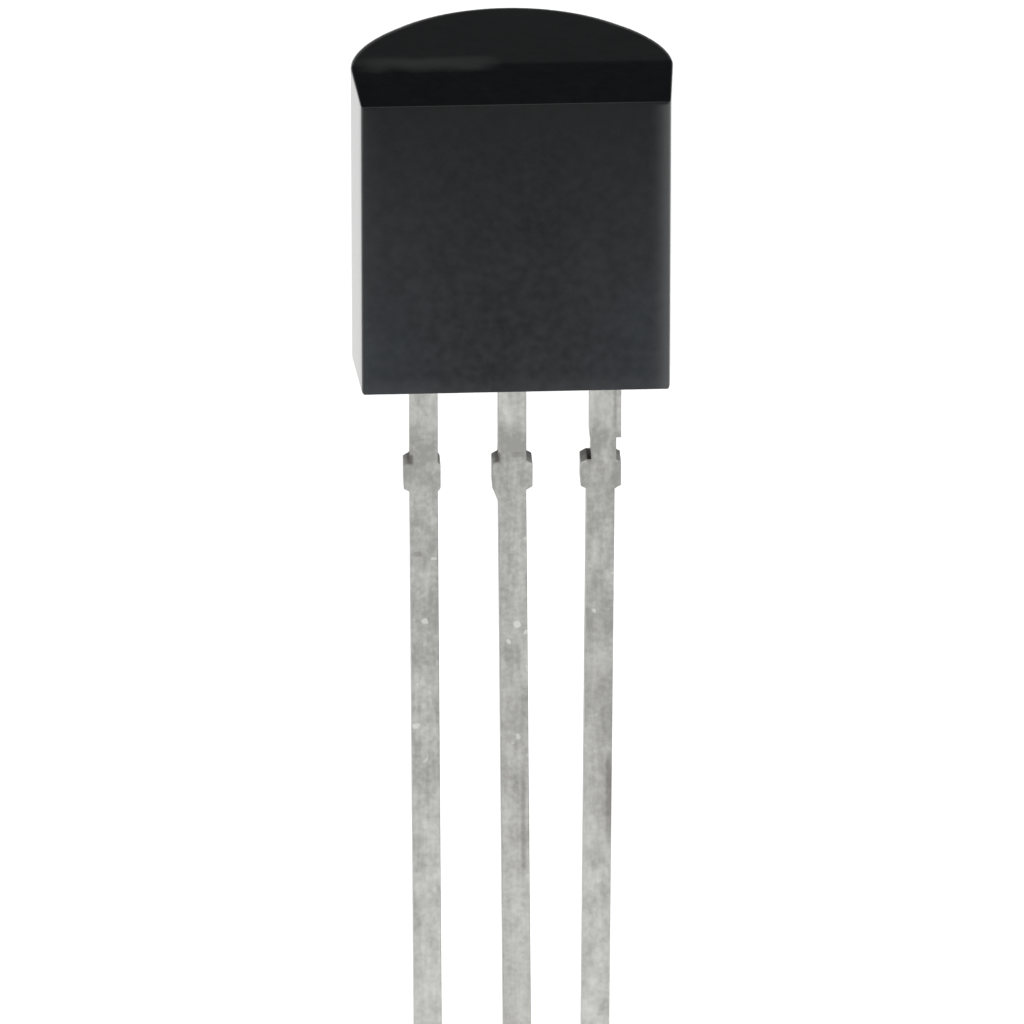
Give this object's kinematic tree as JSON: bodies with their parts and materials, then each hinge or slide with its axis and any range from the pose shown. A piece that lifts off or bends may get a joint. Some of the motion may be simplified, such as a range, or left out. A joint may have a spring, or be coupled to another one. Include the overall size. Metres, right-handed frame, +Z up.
{
  "type": "temperature sensor",
  "caption": "Small D-shaped moulded temperature sensor on flat tinned leads in a row, with dambar stubs, for soldering through a circuit board.",
  "frame": {"origin": "middle of the centre lead where it leaves the underside of the body, on the parting plane", "axes": "+Z up through the body with the leads pointing down, -Y out of the flat face, +Y toward the rounded back, +X along the row of leads"},
  "size_m": [0.0046, 0.0036, 0.0191],
  "materials": {
    "moulding": "fine matt epoxy moulding compound",
    "tinned_lead": "matt tin plating",
    "silicon": "polished silicon",
    "adhesive": "cured silver-filled adhesive",
    "bond_wire": "drawn gold wire"
  },
  "bodies": {
    "root": {"body": "moulding", "lead_left": "tinned_lead", "lead_centre": "tinned_lead", "lead_right": "tinned_lead", "die": "silicon", "die_attach": "adhesive", "bond_wire_left": "bond_wire", "bond_wire_centre": "bond_wire", "bond_wire_right": "bond_wire"}
  },
  "joints": []
}
